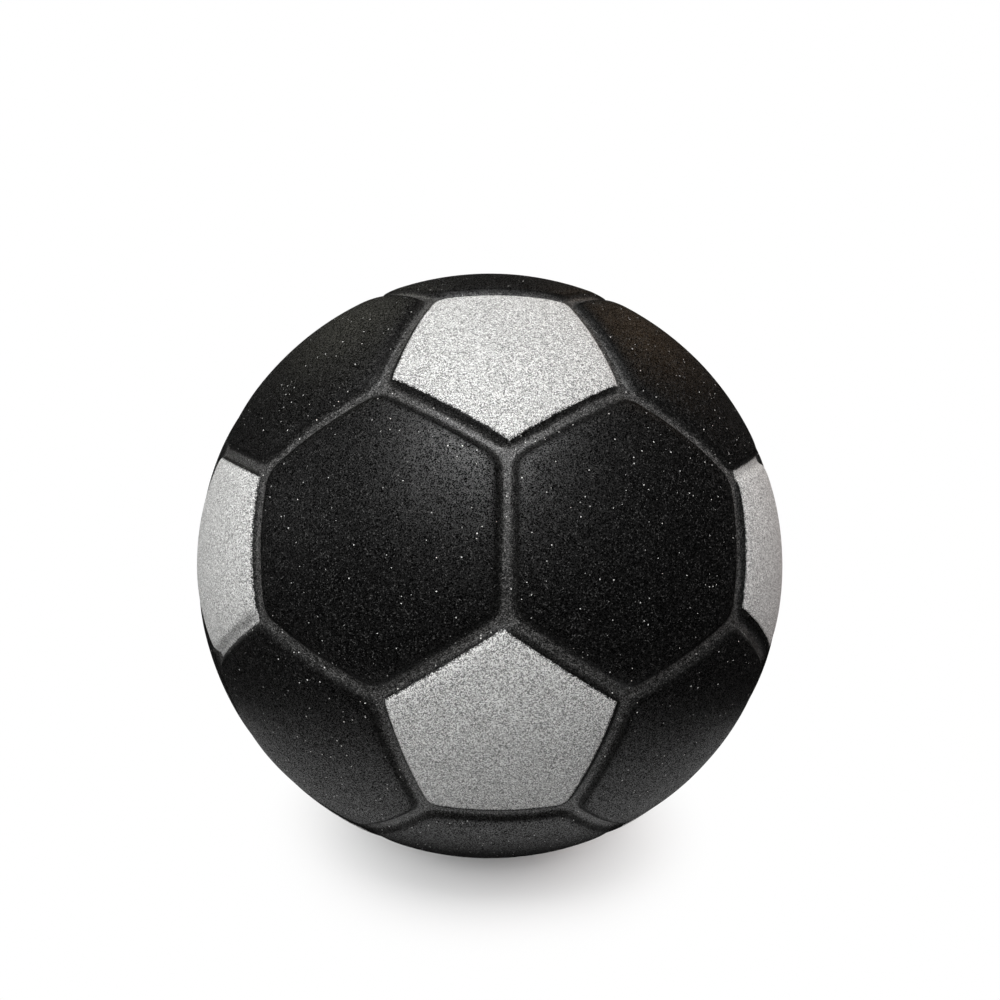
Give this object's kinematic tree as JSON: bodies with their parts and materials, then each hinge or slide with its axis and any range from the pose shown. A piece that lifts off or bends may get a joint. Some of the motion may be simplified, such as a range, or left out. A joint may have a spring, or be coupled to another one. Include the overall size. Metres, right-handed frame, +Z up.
{
  "type": "foam ball",
  "caption": "Round moulded foam football: soft foam core, black skin with grooves between its panels, silver coats on the pentagons and a small flat patch to rest on.",
  "frame": {"origin": "centre of the flattened patch that the ball rests on, in the middle of one hexagon", "axes": "+Z up, square to the resting patch and through the ball's centre; X = 0 is the layout's mirror plane; the side shown in the picture faces -Y"},
  "size_m": [0.2196, 0.22, 0.2195],
  "materials": {
    "skin": "matte black moulded foam skin with a fine grain",
    "core": "soft open black foam",
    "print": "thin sprayed silver coat, satin and speckled"
  },
  "bodies": {
    "root": {"foam_core": "core", "moulded_skin": "skin", "pentagon_print_01": "print", "pentagon_print_02": "print", "pentagon_print_03": "print", "pentagon_print_04": "print", "pentagon_print_05": "print", "pentagon_print_06": "print", "pentagon_print_07": "print", "pentagon_print_08": "print", "pentagon_print_09": "print", "pentagon_print_10": "print", "pentagon_print_11": "print", "pentagon_print_12": "print"}
  },
  "joints": []
}
